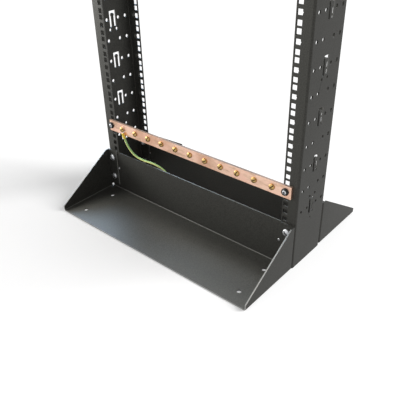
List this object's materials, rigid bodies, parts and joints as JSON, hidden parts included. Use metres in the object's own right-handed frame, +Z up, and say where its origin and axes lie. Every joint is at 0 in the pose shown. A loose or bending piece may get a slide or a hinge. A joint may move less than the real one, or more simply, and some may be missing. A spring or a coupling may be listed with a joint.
{
  "type": "two post open frame rack",
  "caption": "Free-standing open frame rack: two square-hole channel posts between folded base trays, with a top crosspiece, a copper earth bar and its earth lead.",
  "frame": {"origin": "on the floor at the middle of the footprint", "axes": "+X to the right along the width, +Y to the rear, +Z up along the posts"},
  "size_m": [0.515, 0.4, 1.2142],
  "materials": {
    "black_powder_coat": "fine textured satin charcoal powder coat",
    "copper": "bare drawn copper, lightly brushed",
    "brass": "turned brass",
    "black_plastic": "moulded, satin",
    "yellow_sleeve": "smooth vinyl",
    "earth_insulation": "green and yellow vinyl insulation",
    "tinned_copper": "tin plate",
    "zinc": "bright zinc plate"
  },
  "bodies": {
    "root": {"bar_lead_sleeve": "yellow_sleeve", "bar_ring_terminal": "tinned_copper", "earth_stud": "zinc", "earth_stud_nut": "zinc", "earth_wire": "earth_insulation", "frame_lead_sleeve": "yellow_sleeve", "frame_ring_terminal": "tinned_copper", "front_base_tray": "black_powder_coat", "front_left_tray_bolts": "zinc", "front_left_tray_nuts": "zinc", "front_right_tray_bolts": "zinc", "front_right_tray_nuts": "zinc", "ground_bar": "copper", "left_bar_screw": "zinc", "left_cage_nut": "zinc", "left_cup_washer": "black_plastic", "left_post": "black_powder_coat", "left_top_bolts": "zinc", "left_top_nuts": "zinc", "rear_base_tray": "black_powder_coat", "rear_left_tray_bolts": "zinc", "rear_left_tray_nuts": "zinc", "rear_right_tray_bolts": "zinc", "rear_right_tray_nuts": "zinc", "right_bar_screw": "zinc", "right_cage_nut": "zinc", "right_cup_washer": "black_plastic", "right_post": "black_powder_coat", "right_top_bolts": "zinc", "right_top_nuts": "zinc", "terminal_screw_01": "brass", "terminal_screw_02": "brass", "terminal_screw_03": "brass", "terminal_screw_04": "brass", "terminal_screw_05": "brass", "terminal_screw_06": "brass", "terminal_screw_07": "brass", "terminal_screw_08": "brass", "terminal_screw_09": "brass", "terminal_screw_10": "brass", "terminal_screw_11": "brass", "top_crosspiece": "black_powder_coat"}
  },
  "joints": []
}
